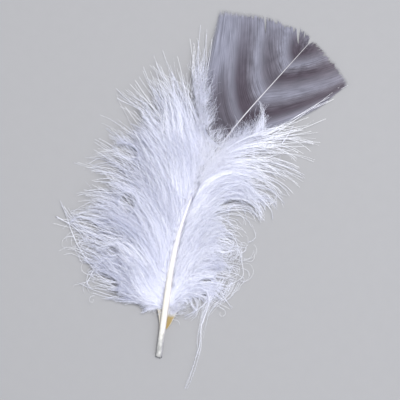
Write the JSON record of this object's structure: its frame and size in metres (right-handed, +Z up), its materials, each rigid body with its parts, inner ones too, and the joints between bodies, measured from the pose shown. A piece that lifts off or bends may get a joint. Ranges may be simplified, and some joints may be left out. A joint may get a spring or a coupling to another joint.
{
  "type": "feather",
  "caption": "Downy body feather lying flat: cut hollow quill, curling white down on both sides of the shaft, barred grey vane fanned at the tip.",
  "frame": {"origin": "middle of the footprint's bounding box, on the surface that the feather lies on", "axes": "+Y from the cut quill to the tip, +X to the right seen from above, +Z up"},
  "size_m": [0.066, 0.1134, 0.0134],
  "materials": {
    "shaft": "smooth waxy horn, cream white",
    "sheath": "thin dry skin, tan fading to cream",
    "down": "soft loose white down",
    "vane": "silky barred grey barbs"
  },
  "bodies": {
    "root": {"quill_shaft": "shaft", "sheath_remnant": "sheath", "down_left": "down", "down_right": "down", "vane_left": "vane", "vane_right": "vane"}
  },
  "joints": []
}
